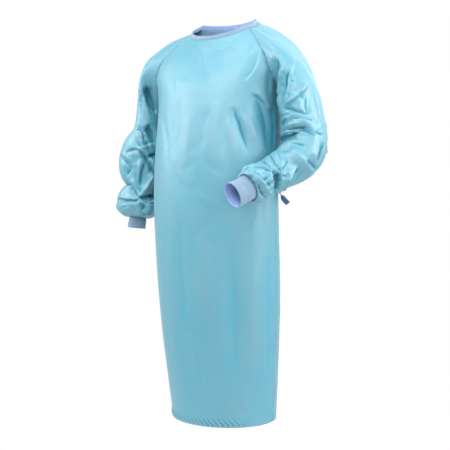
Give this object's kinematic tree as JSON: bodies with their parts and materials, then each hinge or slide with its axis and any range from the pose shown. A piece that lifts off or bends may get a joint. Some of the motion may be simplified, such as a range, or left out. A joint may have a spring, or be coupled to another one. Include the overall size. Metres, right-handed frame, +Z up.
{
  "type": "surgical gown",
  "caption": "Long-sleeved surgical gown as it hangs when worn, with raglan sleeves, knit cuffs, a narrow neck band and a wrap-over back tied at the waist.",
  "frame": {"origin": "middle of the neck opening, level with the top of the band where the gown rests on the shoulders; the gown hangs below it", "axes": "+Z up towards the wearer's head, -Y the way the wearer faces, +X the wearer's left"},
  "size_m": [0.7132, 0.454, 1.2452],
  "materials": {
    "front_panel": "satin woven polyester, light cyan-blue",
    "back_flap_under": "satin woven polyester, light cyan-blue",
    "back_flap_outer": "satin woven polyester, light cyan-blue",
    "sleeve_left": "satin woven polyester, light cyan-blue",
    "sleeve_right": "satin woven polyester, light cyan-blue",
    "cuff_left": "fine rib knit, lavender-blue",
    "cuff_right": "fine rib knit, lavender-blue",
    "neck_band": "folded knit binding, lavender-blue",
    "waist_tie": "woven tape, mid blue",
    "side_tab": "woven tape, mid blue",
    "tie_knot": "woven tape, mid blue",
    "tie_tail": "woven tape, mid blue"
  },
  "bodies": {
    "root": {"front_panel": "front_panel", "back_flap_under": "back_flap_under", "back_flap_outer": "back_flap_outer", "sleeve_left": "sleeve_left", "sleeve_right": "sleeve_right", "cuff_left": "cuff_left", "cuff_right": "cuff_right", "neck_band": "neck_band", "waist_tie": "waist_tie", "side_tab": "side_tab", "tie_knot": "tie_knot", "tie_tail": "tie_tail"}
  },
  "joints": []
}
